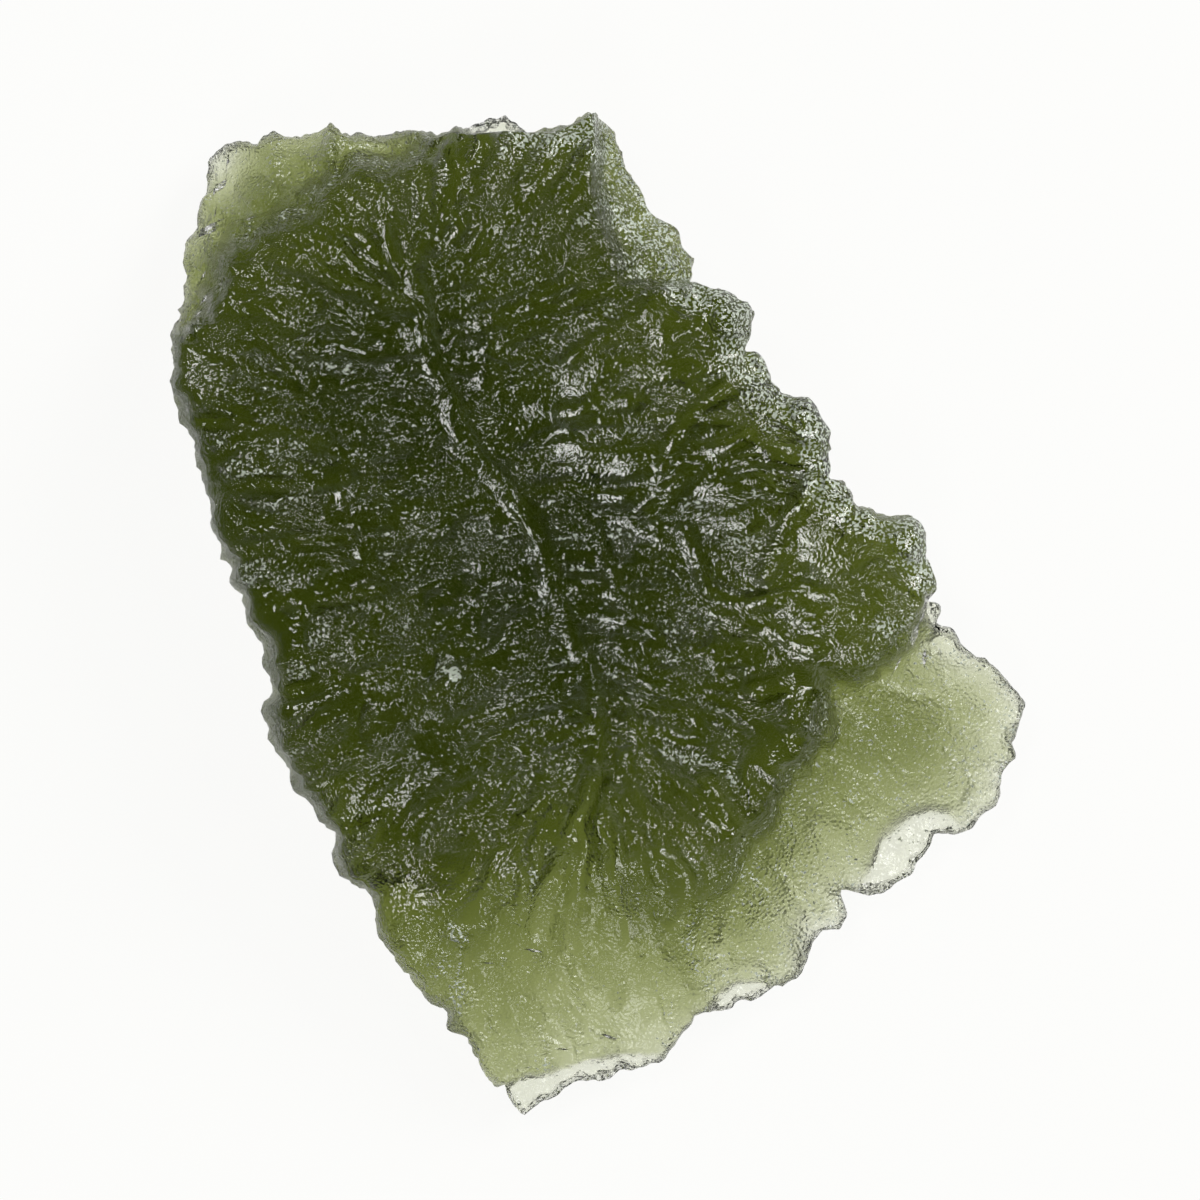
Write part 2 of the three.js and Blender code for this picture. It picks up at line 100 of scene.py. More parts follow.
def noise(x: Array, y: Array, seed: float) -> Array:
    """Gradient noise, about -0.7 to 0.7, with one hill or hollow for each unit of x and y.

    Each lattice point has a slope in a random direction. The value is the blend of the four
    nearest slopes, weighed by the S-shaped step of the place inside the lattice cell.

    Args:
        x: Places across.
        y: Places along.
        seed: Which of the fields to use.

    Returns:
        The noise at each place.
    """
    i, j = np.floor(x), np.floor(y)

    def slope(di: int, dj: int) -> Array:
        """Returns the height of the plane that leans on one corner of the cell."""
        turn = 2 * np.pi * chance(i + di, j + dj, seed)
        return np.cos(turn) * (x - i - di) + np.sin(turn) * (y - j - dj)

    across, along = smooth(x - i), smooth(y - j)
    near = mix(slope(0, 0), slope(1, 0), across)
    far = mix(slope(0, 1), slope(1, 1), across)
    return mix(near, far, along)


def bowls(x: Array, y: Array, seed: float) -> tuple[Array, Array]:
    """Shallow bowls that meet in crests: the squared distance to the nearest scattered centre.

    A place is on a crest where the two nearest centres are equally far, so the crest share is
    exp(-((far - near) / 0.07)^2).

    Args:
        x: Places across, with about one bowl for each unit.
        y: Places along.
        seed: Which scatter to use.

    Returns:
        The height, from 0 at a bowl's centre to about 0.6 on the crests, and the crest share.
    """
    i, j = np.floor(x), np.floor(y)
    near = np.full(np.shape(x), np.inf)
    far = np.full(np.shape(x), np.inf)
    for di in (-1, 0, 1):
        for dj in (-1, 0, 1):
            across = i + di + chance(i + di, j + dj, seed) - x
            along = j + dj + chance(i + di, j + dj, seed + 1) - y
            gap = across**2 + along**2
            far = np.minimum(far, np.maximum(near, gap))
            near = np.minimum(near, gap)
    crest = np.exp(-(((np.sqrt(far) - np.sqrt(near)) / 0.07) ** 2))
    return np.minimum(near, 1), crest


def distance_to(path: Path | Array, x: Array, y: Array, closed: bool = False) -> Array:
    """Distance from each place to a polyline: the least of the distances to its segments.

    Args:
        path: The polyline's points.
        x: Places across.
        y: Places along.
        closed: Whether a last segment joins the end to the start.

    Returns:
        The distance at each place, in the units of the path.
    """
    points = np.asarray(path, float)
    starts = points if closed else points[:-1]
    ends = np.roll(points, -1, axis=0) if closed else points[1:]
    least = np.full(np.shape(x), np.inf)
    for (ax, ay), (bx, by) in zip(starts, ends):
        dx, dy = bx - ax, by - ay
        t = np.clip(((x - ax) * dx + (y - ay) * dy) / (dx * dx + dy * dy + 1e-12), 0, 1)
        least = np.minimum(least, np.hypot(x - ax - t * dx, y - ay - t * dy))
    return least


def is_inside(polygon: Path, x: Array, y: Array) -> Array:
    """Tells which places are inside a polygon, by the number of sides that a ray crosses.

    Args:
        polygon: The corners, in order.
        x: Places across.
        y: Places along.

    Returns:
        An array of True and False, the shape of x.
    """
    points = np.asarray(polygon, float)
    inside = np.zeros(np.shape(x), bool)
    for (ax, ay), (bx, by) in zip(np.roll(points, 1, axis=0), points):
        if ay != by:
            crosses = ((ay > y) != (by > y)) & (x < ax + (y - ay) * (bx - ax) / (by - ay))
            inside ^= crosses
    return inside


# The outline.


@dataclass(frozen=True)
class Outline:
    """The stone's outline from above, in four sides, each listed from corner to corner."""

    top: Path = (
        (-14.0, 16.4), (-13.6, 16.85), (-13.0, 17.1), (-12.0, 17.25), (-10.1, 17.3),
        (-9.65, 17.65), (-8.9, 17.2), (-7.6, 17.2), (-6.7, 17.5), (-5.8, 17.25), (-4.6, 17.55),
        (-3.4, 17.9), (-2.5, 17.25), (-1.8, 17.27), (-1.5, 17.5), (-0.1, 17.95),
    )  # fmt: skip
    right: Path = (
        (-0.1, 17.95), (0.25, 17.6), (0.6, 17.05), (1.1, 15.95), (1.6, 15.0), (2.0, 14.35),
        (3.0, 13.5), (3.35, 12.6), (3.35, 12.15), (3.25, 11.85), (4.3, 11.7), (4.8, 11.5),
        (5.2, 11.1), (5.5, 10.7), (5.4, 9.9), (5.2, 9.3), (5.6, 9.3), (6.2, 8.7), (6.45, 7.85),
        (7.45, 7.7), (7.85, 7.5), (7.95, 7.1), (8.3, 6.5), (8.15, 5.7), (8.3, 5.25), (8.2, 4.85),
        (8.6, 4.8), (9.0, 4.45), (9.3, 3.95), (10.5, 3.55), (11.2, 3.55), (11.65, 3.2),
        (11.75, 2.4), (11.65, 2.1), (12.05, 1.3), (12.0, 0.8), (11.75, 0.5), (12.4, 0.3),
        (12.2, -0.3), (12.7, -0.5), (13.6, -1.5), (14.5, -2.0), (14.85, -2.4), (15.3, -3.2),
    )  # fmt: skip
    bottom: Path = (
        (-2.7, -18.05), (-1.8, -17.5), (-0.7, -16.9), (0.0, -16.85), (0.9, -16.4),
        (1.55, -16.35), (2.3, -16.0), (3.1, -15.1), (3.45, -14.45), (4.4, -14.4), (4.9, -14.05),
        (5.9, -13.7), (6.7, -13.5), (7.25, -12.9), (7.5, -12.3), (7.7, -11.95), (8.1, -11.4),
        (8.7, -11.4), (8.85, -10.5), (8.8, -10.1), (10.2, -10.1), (10.8, -9.75), (11.3, -9.4),
        (11.7, -8.7), (12.1, -7.97), (12.7, -8.0), (13.4, -7.75), (14.3, -6.9), (14.55, -6.0),
        (14.95, -5.2), (14.85, -4.6), (15.25, -4.0), (15.3, -3.2),
    )  # fmt: skip
    left: Path = (
        (-14.0, 16.4), (-14.25, 15.85), (-14.3, 15.1), (-14.55, 14.8), (-14.4, 13.85),
        (-14.95, 13.45), (-15.05, 12.7), (-14.9, 11.9), (-15.1, 11.05), (-15.3, 11.0),
        (-15.35, 10.3), (-15.3, 9.0), (-15.25, 8.0), (-15.0, 7.0), (-14.55, 6.2), (-14.4, 5.4),
        (-13.9, 3.9), (-13.9, 3.2), (-13.6, 2.5), (-13.4, 2.0), (-13.1, 1.6), (-13.25, 1.0),
        (-12.8, 0.7), (-12.6, -0.1), (-12.25, -0.8), (-11.9, -1.8), (-11.7, -2.7), (-12.0, -3.1),
        (-11.95, -3.9), (-11.5, -4.9), (-10.9, -5.9), (-10.85, -6.3), (-10.45, -6.6),
        (-10.15, -7.5), (-9.6, -7.8), (-9.5, -8.8), (-9.2, -9.5), (-8.3, -10.0), (-8.0, -11.2),
        (-7.8, -11.85), (-7.1, -12.6), (-6.8, -13.2), (-6.2, -13.9), (-5.6, -14.2), (-5.3, -15.0),
        (-4.6, -15.9), (-4.3, -16.6), (-3.85, -17.1), (-3.5, -17.05), (-3.1, -17.75),
        (-2.7, -18.05),
    )  # fmt: skip
    notch_depth: float = 0.1
    notch_size: float = 0.75
    nick_depth: float = 0.045
    nick_size: float = 0.33

    @staticmethod
    def evenly(path: Path, cells: int) -> Array:
        """Places points at equal spacing along a polyline.

        Args:
            path: The polyline.
            cells: The number of equal steps.

        Returns:
            An array of cells + 1 points.
        """
        points = np.asarray(path, float)
        reach = np.concatenate([[0], np.cumsum(np.hypot(*np.diff(points, axis=0).T))])
        goals = np.linspace(0, reach[-1], cells + 1)
        return np.stack([np.interp(goals, reach, points[:, k]) for k in (0, 1)], axis=1)

    def ring(self, across: int, along: int) -> Array:
        """Goes once round the outline, clockwise from the top left corner.

        The points are spaced evenly on each side, then moved along the inward direction by
        two sizes of noise, which stand for notches and nicks.

        Args:
            across: Cells on the top and bottom sides.
            along: Cells on the left and right sides.

        Returns:
            An array of 2 (across + along) points.
        """
        points = np.concatenate([
            self.evenly(self.top, across)[:-1],
            self.evenly(self.right, along)[:-1],
            self.evenly(self.bottom, across)[::-1][:-1],
            self.evenly(self.left, along)[::-1][:-1],
        ])
        x, y = points.T
        notch = self.notch_depth * noise(x / self.notch_size, y / self.notch_size, 71)
        nick = self.nick_depth * noise(x / self.nick_size, y / self.nick_size, 72)
        return points + self.inward(points, 4) * (2 * (notch + nick))[:, None]

    @staticmethod
    def inward(ring: Array, window: int) -> Array:
        """Finds the direction into the stone at each point of a ring that runs clockwise.

        It is the chord from a few points before to a few points after, turned a quarter
        right and made one long.

        Args:
            ring: The points.
            window: How many points either way the chord reaches.

        Returns:
            One direction of length 1 for each point.
        """
        chord = np.roll(ring, -window, axis=0) - np.roll(ring, window, axis=0)
        turned = np.stack([chord[:, 1], -chord[:, 0]], axis=1)
        return turned / np.linalg.norm(turned, axis=1, keepdims=True)


# Relief.


@dataclass(frozen=True)
class Break:
    """A place where the face has broken away down to a lower shelf.

    The shelf lies inside the line, which noise frays. Its height runs from lip, away from the
    stone's edge, to edge, at the stone's edge, over the reach, less bowls, plus the rise of
    each spot (x, y, radius, rise). The step itself takes the width of slope.

    Etched says how much of the face's relief is left on the shelf, frost and grain how rough
    and how wavy its glass is, and the crest and shelf speck shares how much of the bowls' crests
    and of the whole shelf carry pale specks that paint glints.
    """

    line: Path
    lip: float
    edge: float
    reach: float
    slope: float
    etched: float
    frost: float
    grain: float
    fray: float = 0.35
    bowl_size: float = 1.6
    bowl_depth: float = 0.2
    # Painted glints: pale specks on the bowls' crests and spread over the whole shelf.
    glint_and_grit: float = 0.0
    glint_veil: float = 0.0
    spots: tuple = ()

    def share(self, x: Array, y: Array) -> Array:
        """Tells how broken each place is: the S-shaped step across the frayed line.

        Args:
            x: Places across.
            y: Places along.

        Returns:
            0 on the old face, 1 on the shelf.
        """
        sway = noise(x / 1.3, y / 1.3, 91) + 0.5 * noise(x / 0.45, y / 0.45, 92)
        drift = noise(x / 1.3, y / 1.3, 93) + 0.5 * noise(x / 0.45, y / 0.45, 94)
        px, py = x + self.fray * sway, y + self.fray * drift
        side = np.where(is_inside(self.line, px, py), 1.0, -1.0)
        return smooth(side * distance_to(self.line, px, py, True) / self.slope / 2 + 0.5)

    def shelf(self, x: Array, y: Array, edge: Array) -> tuple[Array, Array]:
        """Works out the height of the shelf itself, and its pale specks, which paint glints.

        Args:
            x: Places across.
            y: Places along.
            edge: The distance to the outline.

        Returns:
            The height and the share of pale specks, painted glints, at each place.
        """
        height = mix(self.edge, self.lip, smooth(edge / self.reach))
        bend = 0.35 * noise(x / 1.1, y / 1.1, 43)
        hollow, crest = bowls(x / self.bowl_size + bend, y / self.bowl_size - bend, 41)
        height = height + self.bowl_depth * (2 * hollow - 1)
        # Painted glints: pale specks on some of the crests, and a patchy spread of them over the
        # shelf, denser near the stone's edge.
        patchy = np.clip(0.5 + 1.2 * noise(x / 0.7, y / 0.7, 44), 0, 1)
        glint_veil = self.glint_veil * (1 + 0.35 * noise(x / 0.8, y / 0.8, 45) + 0.2 * np.exp(-edge / 0.7))
        speck_share = np.maximum(self.glint_and_grit * crest * patchy, glint_veil)
        for sx, sy, radius, rise in self.spots:
            height = height + rise * np.exp(-((x - sx) ** 2 + (y - sy) ** 2) / radius**2)
        return height, speck_share


@dataclass(frozen=True)
class Channel:
    """A channel cut into the face along a path, with a bell-shaped section."""

    depth: float
    width: float
    path: Path


@dataclass(frozen=True)
class Net:
    """The etched net of channels that fans out from the midrib between two foci.

    Places are turned into elliptic coordinates about the foci: the angle names a field line
    and the reach says how far out along it a place is. Channels run where noise that is
    stretched along the field lines crosses zero, so they fork and rejoin.
    """

    seed: float
    per_radian: float
    per_reach: float
    depth: float
    width: float
    head: tuple[float, float] = (-6.3, 12.0)
    foot: tuple[float, float] = (-0.3, -6.5)
    right_twist: float = 0.35
    wander: float = 0.55

    def field(self, x: Array, y: Array) -> Array:
        """Gives the stretched noise whose zero lines are the channels.

        Args:
            x: Places across.
            y: Places along.

        Returns:
            The noise at each place.
        """
        half = math.dist(self.head, self.foot) / 2
        to_head = np.hypot(x - self.head[0], y - self.head[1])
        to_foot = np.hypot(x - self.foot[0], y - self.foot[1])
        out = np.arccosh(np.maximum(1, (to_head + to_foot) / (2 * half)))
        angle = np.arccos(np.clip((to_head - to_foot) / (2 * half), -1, 1))
        cross = (self.foot[0] - self.head[0]) * (y - self.head[1])
        cross = cross - (self.foot[1] - self.head[1]) * (x - self.head[0])
        right = (cross > 0).astype(float)
        angle = angle + self.right_twist * out * right
        sway = self.wander * noise(x * 0.35, y * 0.35, self.seed + 9)
        drift = self.wander * noise(x * 0.8, y * 0.8, self.seed + 8)
        return noise(
            angle * self.per_radian + sway + 0.5 * drift,
            out * self.per_reach + drift,
            self.seed + 23 * right,
        )

    def distance(self, x: Array, y: Array) -> Array:
        """Estimates the distance to the nearest channel: the field over its own slope.

        A slope below 0.3 counts as 0.3, so that no channel spreads out into a pool.

        Args:
            x: Places across.
            y: Places along.

        Returns:
            The distance at each place.
        """
        step = 0.02
        here = self.field(x, y)
        slope = np.hypot(self.field(x + step, y) - here, self.field(x, y + step) - here) / step
        return np.abs(here) / np.maximum(slope, 0.3)


FACE_HEIGHTS = (
    (-6, 12, 7.0), (-5, 8, 7.4), (-3, 4, 7.5), (-1, 0, 7.4), (0, -4, 6.8), (0, -7, 5.6),
    (0, -10, 4.6), (0, -12.5, 2.9), (0, -14.5, 2.1), (0.5, -16, 1.8), (-14, 9, 6.8),
    (-13, 5, 7.2), (-12.5, 2, 7.3), (-11.5, -1, 7.2), (-11, -4, 6.9), (-9.5, -7, 6.2),
    (-8, -10, 5.2), (-6.5, -13, 4.5), (-4.5, -16, 3.1), (-10, 8, 7.0), (-9, 2, 7.2),
    (-7, -4, 6.8), (-5, -8, 5.7), (-4, -12, 3.9), (-2.5, -14.5, 2.2), (-12, 14, 5.6),
    (-13.5, 16, 5.0), (-10, 15.5, 5.6), (-7, 16, 5.6), (-4, 16.5, 5.8), (-1.5, 16.5, 6.0),
    (-10, 12, 6.5), (-3, 14, 6.8), (0, 14, 6.5), (2, 11, 6.4), (4, 10, 5.8), (5, 8, 5.9),
    (7, 6.5, 5.5), (3, 6, 6.8), (7.5, 4, 6.1), (10, 2.5, 5.3), (11, 1.5, 4.7), (5, 0, 6.6),
    (8, -1, 6.0), (5, -4, 6.4), (4, -8, 4.9), (2, -11, 3.5), (12, -4, 4.8), (8, -8, 4.9),
)  # fmt: skip

# Each break's speck shares paint glints as pale specks on its shelf.
LOWER_SHELF = Break(
    line=(
        (12.6, 0.4), (11.6, -0.3), (10.9, -1.3), (10.0, -2.0), (9.0, -2.2), (8.1, -2.8),
        (8.0, -3.7), (7.5, -4.7), (6.9, -5.5), (6.2, -6.3), (6.0, -7.2), (5.3, -8.0),
        (4.8, -8.7), (4.6, -9.4), (3.9, -10.1), (3.2, -10.8), (3.1, -11.7), (3.5, -12.6),
        (4.1, -13.4), (4.6, -14.4), (5.5, -20), (20, -20), (20, 0.4),
    ),
    lip=3.7, edge=2.0, reach=5.5, slope=0.6, etched=0.35, frost=0.95, grain=1.2,
    fray=0.6, bowl_size=1.7, bowl_depth=0.12, glint_veil=0.34,
)  # fmt: skip

CORNER_SHELF = Break(
    line=(
        (-20, 9.4), (-15.1, 9.3), (-14.7, 10.2), (-14.2, 10.9), (-13.6, 11.7), (-13.3, 12.8),
        (-13.0, 13.5), (-11.6, 13.8), (-10.4, 14.3), (-9.8, 15.1), (-8.9, 15.9), (-7.6, 16.0),
        (-6.6, 16.3), (-5.9, 16.9), (-5.6, 20), (-20, 20),
    ),
    lip=4.9, edge=3.1, reach=3.2, slope=0.7, etched=0.6, frost=0.95, grain=0.9,
    fray=0.6, bowl_size=1.9, bowl_depth=0.6, glint_and_grit=0.5, glint_veil=0.31,
    spots=(
        (-13.3, 16.0, 1.0, -1.0), (-9.6, 16.4, 1.3, 0.8), (-6.9, 16.9, 1.2, 0.8),
        (-14.2, 12.2, 1.0, 0.9),
    ),
)  # fmt: skip

TOP_FLANGE = Break(
    line=(
        (-5.5, 20), (-5.3, 17.3), (-4.7, 17.1), (-3.7, 17.2), (-2.7, 17.25), (-2.2, 17.3),
        (-2.0, 20),
    ),
    lip=1.6, edge=1.1, reach=0.9, slope=0.15, etched=0.1, frost=0.9, grain=0.3,
    fray=0.1, bowl_size=1.0, bowl_depth=0.08, glint_veil=0.2,
)  # fmt: skip

UPPER_FACET = Break(
    line=(
        (0.1, 18.6), (0.0, 17.3), (-0.1, 16.3), (-0.05, 15.0), (0.25, 13.8), (0.6, 12.7),
        (0.8, 11.8), (1.8, 11.5), (3.4, 11.9), (8, 12.5), (6, 18.6),
    ),
    lip=5.8, edge=4.4, reach=2.8, slope=0.3, etched=0.5, frost=0.35, grain=0.9,
    fray=0.25, bowl_size=0.9, bowl_depth=0.3, glint_and_grit=0.5, glint_veil=0.43,
)  # fmt: skip

LOWER_STRIP = Break(
    line=(
        (-5.0, -17.4), (-3.9, -17.0), (-3.3, -16.95), (-2.6, -16.6), (-1.4, -16.4),
        (-0.4, -16.0), (0.9, -15.85), (2.2, -15.9), (3.0, -16.6), (3.0, -19.5), (-5.0, -19.5),
    ),
    lip=1.3, edge=1.0, reach=1.2, slope=0.12, etched=0.15, frost=0.9, grain=0.5,
    fray=0.12, bowl_size=1.2, bowl_depth=0.08, glint_veil=0.2,
)  # fmt: skip

TIP_CHIP = Break(
    line=(
        (11.7, 0.62), (11.55, 0.1), (11.9, -0.45), (12.4, -0.75), (13.2, -0.5), (13.2, 0.7),
    ),
    lip=1.7, edge=1.1, reach=0.6, slope=0.12, etched=0.2, frost=0.3, grain=0.4,
    fray=0.05, bowl_size=0.6, bowl_depth=0.15, glint_veil=0.2,
)  # fmt: skip

CLEAR_CHIP = Break(
    line=(
        (9.5, -9.9), (9.8, -9.0), (10.0, -8.2), (10.5, -7.6), (11.1, -7.2), (11.8, -7.05),
        (12.5, -7.2), (13.0, -8.0), (13.0, -11), (9.2, -11),
    ),
    lip=1.4, edge=0.8, reach=1.8, slope=0.35, etched=0.0, frost=0.8, grain=0.1,
    fray=0.03, bowl_size=3.0, bowl_depth=0.04,
)  # fmt: skip

SMALL_CHIP = Break(
    line=(
        (4.0, -14.2), (4.4, -13.6), (5.0, -13.25), (5.8, -13.2), (6.4, -13.7), (6.4, -15),
        (4.0, -15),
    ),
    lip=1.3, edge=0.85, reach=0.8, slope=0.13, etched=0.05, frost=0.8, grain=0.2,
    fray=0.1, bowl_size=1.5, bowl_depth=0.05,
)  # fmt: skip

CHANNELS = (
    Channel(0.5, 0.42, (
        (-6.2, 15.4), (-6.1, 13.6), (-6.5, 12.0), (-6.2, 10.4), (-5.9, 8.8), (-5.2, 7.2),
        (-4.6, 5.8), (-3.4, 4.5), (-2.5, 3.4), (-1.9, 2.2), (-1.7, 1.0), (-1.2, -0.4),
        (-0.5, -1.6), (-0.2, -3.0), (-0.2, -4.6), (-0.2, -5.9),
    )),
    Channel(0.7, 0.5, ((-0.1, -5.7), (-0.6, -7.2), (-1.2, -8.6), (-1.8, -10.0), (-2.1, -11.2))),
    Channel(0.5, 0.35, ((-0.3, -6.4), (-0.6, -8.4), (-0.9, -10.2), (-1.1, -12.0))),
    Channel(0.5, 0.38, ((-6.5, 10.7), (-7.6, 11.0), (-8.9, 11.5), (-10.2, 12.2), (-11.6, 12.7))),
    Channel(0.45, 0.35, ((0.9, 10.2), (-0.2, 9.6), (-1.2, 8.7), (-2.6, 7.9))),
    Channel(0.45, 0.42, ((1.2, 7.5), (0.0, 7.4), (-1.3, 7.0))),
    Channel(0.5, 0.38, ((5.4, 8.6), (4.3, 7.8), (3.3, 6.9), (2.6, 6.0), (2.3, 5.2))),
    Channel(0.5, 0.36, ((5.2, 6.3), (3.9, 5.6), (2.8, 4.6), (1.8, 3.5))),
    Channel(0.5, 0.42, ((7.6, 4.6), (6.8, 3.4), (6.3, 2.2), (5.8, 1.4))),
    Channel(0.4, 0.36, ((3.0, 2.9), (3.4, 1.9), (3.8, 0.9), (5.2, 0.4), (6.6, 0.6))),
    Channel(0.6, 0.5, ((8.2, -2.4), (7.3, -2.3), (6.4, -2.4), (5.6, -2.7))),
    Channel(0.45, 0.36, ((5.6, -8.2), (4.8, -7.5), (4.2, -6.7), (3.8, -5.9))),
    Channel(0.4, 0.34, ((-14.2, 6.8), (-12.6, 6.7), (-11.0, 6.6), (-9.6, 6.2))),
    Channel(0.4, 0.34, ((-13.7, 4.3), (-12.0, 4.5), (-10.4, 4.5), (-8.9, 4.8))),
    Channel(0.45, 0.36, ((-13.2, 1.9), (-12.2, 2.3), (-10.6, 2.6), (-8.8, 2.7))),
    Channel(0.4, 0.34, ((-12.4, 0.0), (-11.0, 0.5), (-9.0, 0.6), (-7.6, 0.9))),
    Channel(0.4, 0.32, ((-11.6, -2.9), (-10.0, -2.6), (-8.4, -2.2), (-6.6, -1.5))),
    Channel(0.15, 0.3, ((-8.6, -10.0), (-7.2, -9.8), (-5.8, -9.6))),
    Channel(0.35, 0.3, ((-0.2, 3.1), (0.0, 2.4), (0.6, 1.0))),
    Channel(0.35, 0.3, ((0.6, -2.9), (1.2, -3.8), (1.6, -4.8))),
    Channel(0.4, 0.32, ((0.9, -5.0), (1.1, -6.0), (1.8, -7.2))),
)  # fmt: skip


@dataclass
class Face:
    """The etched face, from its blank form through breaks, channels, lumps and pits."""

    heights: tuple = FACE_HEIGHTS
    blur: float = 2.3
    breaks: tuple[Break, ...] = (
        LOWER_SHELF, CORNER_SHELF, TOP_FLANGE, UPPER_FACET, LOWER_STRIP, TIP_CHIP, CLEAR_CHIP,
        SMALL_CHIP,
    )  # fmt: skip
    channels: tuple[Channel, ...] = CHANNELS
    nets: tuple[Net, ...] = (
        Net(seed=10, per_radian=8.0, per_reach=2.2, depth=0.2, width=0.42),
        Net(seed=14, per_radian=12.0, per_reach=4.0, depth=0.06, width=0.3),
    )
    islands: Net = Net(seed=17, per_radian=11.0, per_reach=3.6, depth=0, width=0)
    pits: tuple = (
        (-7.5, 12.3, 0.55, 0.3), (-5.1, -2.1, 0.4, 0.22), (2.7, -1.5, 0.35, 0.3),
        (-0.6, 0.7, 0.6, 0.2), (0.7, 4.15, 0.45, 0.14), (4.2, 5.8, 0.4, 0.12),
    )  # fmt: skip
    # Flat discs of pale specks (x, y, width, length, share): a grain of sediment in the pit at
    # (-5.1, -2.1), and painted glints near (2.8, -1.5).
    marks: tuple = (
        (-5.1, -2.1, 0.26, 0.36, 0.62), (2.75, -1.35, 0.16, 0.22, 0.56),
        (2.85, -1.75, 0.12, 0.16, 0.5),
    )  # fmt: skip
    swells: tuple = (
        (4.6, 10.6, 0.7, 0.5), (11.0, 2.6, 1.0, 0.6), (7.3, 6.6, 0.8, 0.5), (11.7, 0.9, 0.6, 0.4),
    )  # fmt: skip
    lump_height: float = 0.32
    lump_size: float = 2.4
    dimple_depth: float = 0.16
    dimple_size: float = 1.6
    scallop_depth: float = 0.09
    scallop_size: float = 0.8
    # Shares of pale specks that paint glints: on sparse and on dense plateaus, along the breaks'
    # lips, and on the crumpled upper right edge.
    sparse_glint_specks: float = 0.34
    dense_glint_specks: float = 0.455
    lip_glint_veil: float = 0.42
    lip_grain: float = 0.6
    crumple_glint_veil: float = 0.48
    crumple_depth: float = 0.3
    crumple_size: float = 0.7
    crumple_reach: float = 1.3
    edge_rounding: float = 0.9
    edge_reach: float = 0.5
    frost_height: float = 5.4
    frost_fade: float = 1.6
    thin_relief: float = 0.4
    thinnest: float = 0.35

    def blank(self, x: Array, y: Array) -> Array:
        """Gives the unbroken face: the listed heights, each weighed by a bell of its distance.

        Args:
            x: Places across.
            y: Places along.

        Returns:
            The height at each place.
        """
        total = np.zeros(np.shape(x))
        weights = np.full(np.shape(x), 1e-12)
        for px, py, height in self.heights:
            weight = np.exp(-((x - px) ** 2 + (y - py) ** 2) / (2 * self.blur**2))
            total += weight * height
            weights += weight
        return total / weights

    def cuts(self, x: Array, y: Array) -> tuple[Array, Array, Array]:
        """Gives the depth of the channels, how bare of channels each place is, and its pale specks,
        which paint glints.

        Each channel's section is depth x exp(-(distance / width)^4), with a flat bed and thin
        rims, and the deepest counts. The islands' noise then smooths some plateaus out, and
        gathers pale specks, which paint glints, on the others.

        Args:
            x: Places across.
            y: Places along.

        Returns:
            The depth cut, the plateau share from 0 in a channel to 1 between channels, and
            the share of pale specks that paint glints.
        """
        cut = np.zeros(np.shape(x))
        plateau = np.ones(np.shape(x))
        patchy = np.clip(0.75 + 0.7 * noise(x / 1.1, y / 1.1, 86), 0.4, 1)
        for channel in self.channels:
            bell = np.exp(-((distance_to(channel.path, x, y) / channel.width) ** 4))
            cut = np.maximum(cut, channel.depth * patchy * bell)
            plateau = np.minimum(plateau, 1 - patchy * bell**0.5)
        for k, net in enumerate(self.nets):
            vigour = np.clip(0.8 + 0.9 * noise(x * 0.5, y * 0.5, 81 + k), 0, 1.2)
            bell = np.exp(-((net.distance(x, y) / net.width) ** 4))
            cut = np.maximum(cut, net.depth * vigour * bell)
            plateau = np.minimum(plateau, 1 - 0.95 * np.minimum(vigour, 1) * bell**0.5)
        # Painted glints: pale specks, sparse or dense by patch, and none in the channels.
        patch = self.islands.field(x, y) + 0.5 * noise(x / 0.9, y / 0.9, 85)
        specks = mix(self.sparse_glint_specks, self.dense_glint_specks, smooth((patch + 0.05) / 0.35))
        specks = specks * smooth(plateau / 0.8)
        return cut, plateau * mix(0.7, 1, smooth((patch + 0.25) / 0.3)), specks

    def crumpled(self, x: Array, y: Array, edge: Array) -> Array:
        """Tells how crumpled each place is.

        It is a bell of the distance to the outline, kept to the upper right edge by two
        S-shaped steps: one as x + 0.6 y goes from 5 to 8, one as y goes from 0 to 1.5.

        Args:
            x: Places across.
            y: Places along.
            edge: The distance to the outline.

        Returns:
            0 where the face is whole, 1 on the crumpled edge.
        """
        bell = np.exp(-((edge / self.crumple_reach) ** 2))
        return bell * smooth((x + 0.6 * y - 5) / 3) * smooth(y / 1.5)

    def surface(self, x: Array, y: Array, edge: Array, floor: Array) -> tuple[Array, ...]:
        """Works out the face over a grid of places.

        height = the blank and its swells, less folds along the upper right edge, lowered to
        each break's shelf, less channels, dimples, scallops and pits, plus lumps, and rounded
        down near the stone's edge. The relief is gentler where the stone is thin. Low places
        are frosted. Pale specks paint glints on the plateaus, the crumpled edge and the breaks'
        lips,
        and each mark is a flat disc of specks: one a grain of sediment, the others painted glints.

        Args:
            x: Places across.
            y: Places along.
            edge: The distance to the outline.
            floor: The height of the back.

        Returns:
            The heights, the plateau share, the frost and the share of pale specks: painted glints,
            and one grain of sediment.
        """
        height = self.blank(x, y)
        calm = np.ones(np.shape(x))
        frost = smooth((self.frost_height - height) / self.frost_fade)
        cut, plateau, glint_and_grit = self.cuts(x, y)
        for sx, sy, radius, rise in self.swells:
            bell = np.exp(-((x - sx) ** 2 + (y - sy) ** 2) / radius**2)
            height = height + rise * bell
        crumple = self.crumpled(x, y, edge)
        folds = np.abs(noise(x / self.crumple_size, y / self.crumple_size, 15))
        height = height - self.crumple_depth * crumple * folds
        frost = frost * (1 - crumple)
